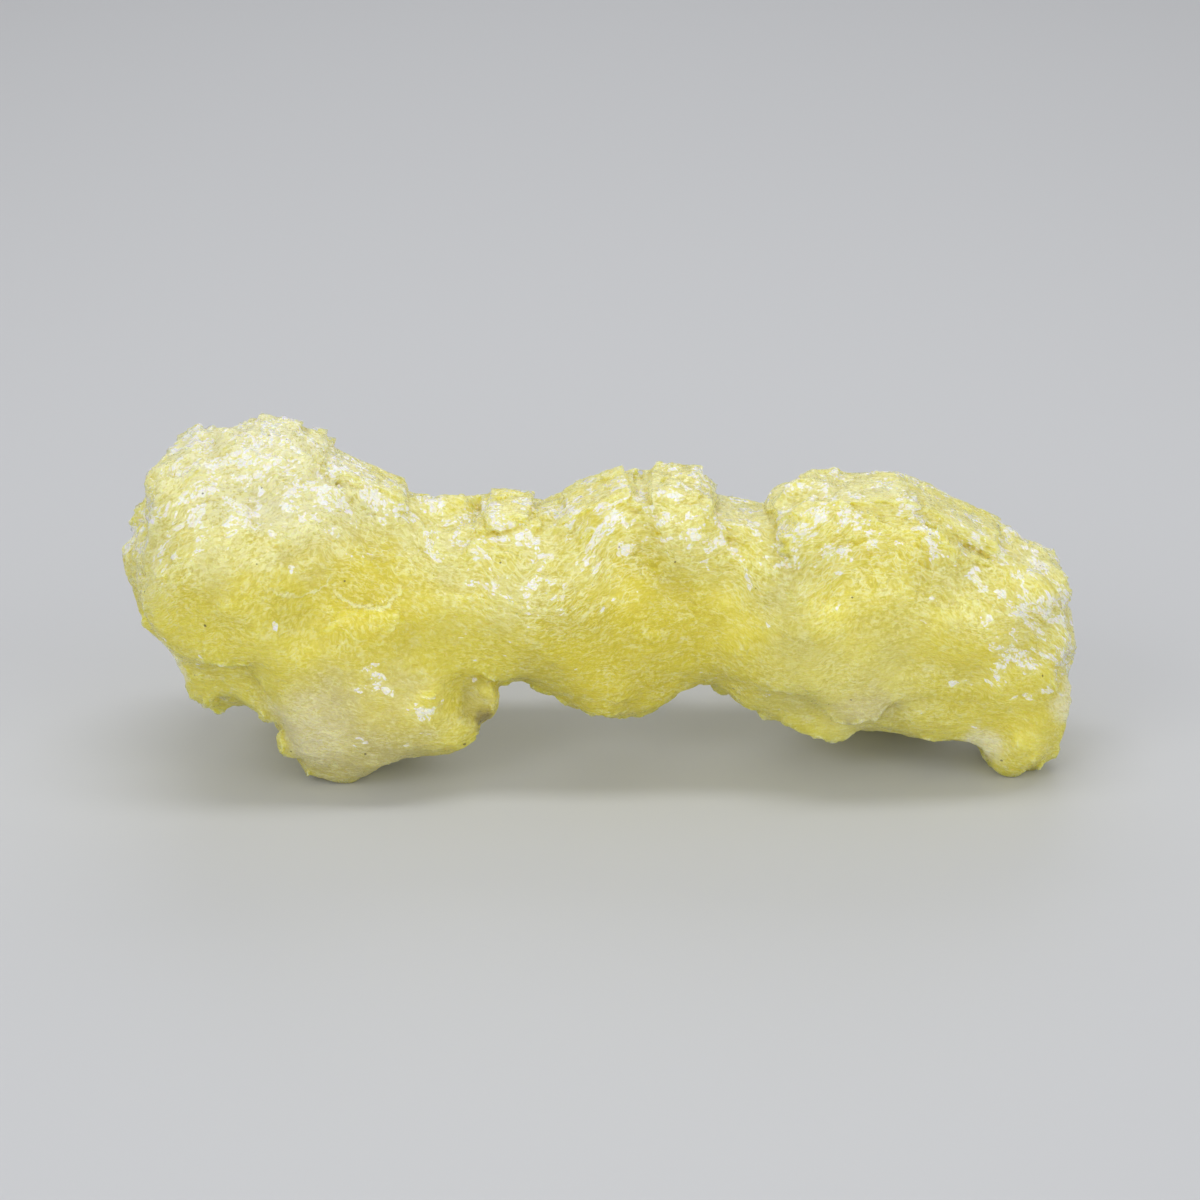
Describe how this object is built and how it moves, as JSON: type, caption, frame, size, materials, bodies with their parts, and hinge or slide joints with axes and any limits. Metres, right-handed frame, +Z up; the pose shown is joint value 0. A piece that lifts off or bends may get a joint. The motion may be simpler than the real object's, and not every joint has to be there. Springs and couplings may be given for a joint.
{
  "type": "brucite crystal specimen",
  "caption": "Elongated botryoidal lump of translucent lemon-yellow brucite, a mineral specimen that stands on worn feet with an open arch under its middle.",
  "frame": {"origin": "middle of the bounding box's underside, on the surface that the specimen stands on", "axes": "+X along the growth towards the end with the single foot, +Y towards its back, +Z up"},
  "size_m": [0.1106, 0.0342, 0.04],
  "materials": {
    "brucite": "translucent, waxy to pearly, with small glinting plates"
  },
  "bodies": {
    "root": {"brucite_growth": "brucite"}
  },
  "joints": []
}
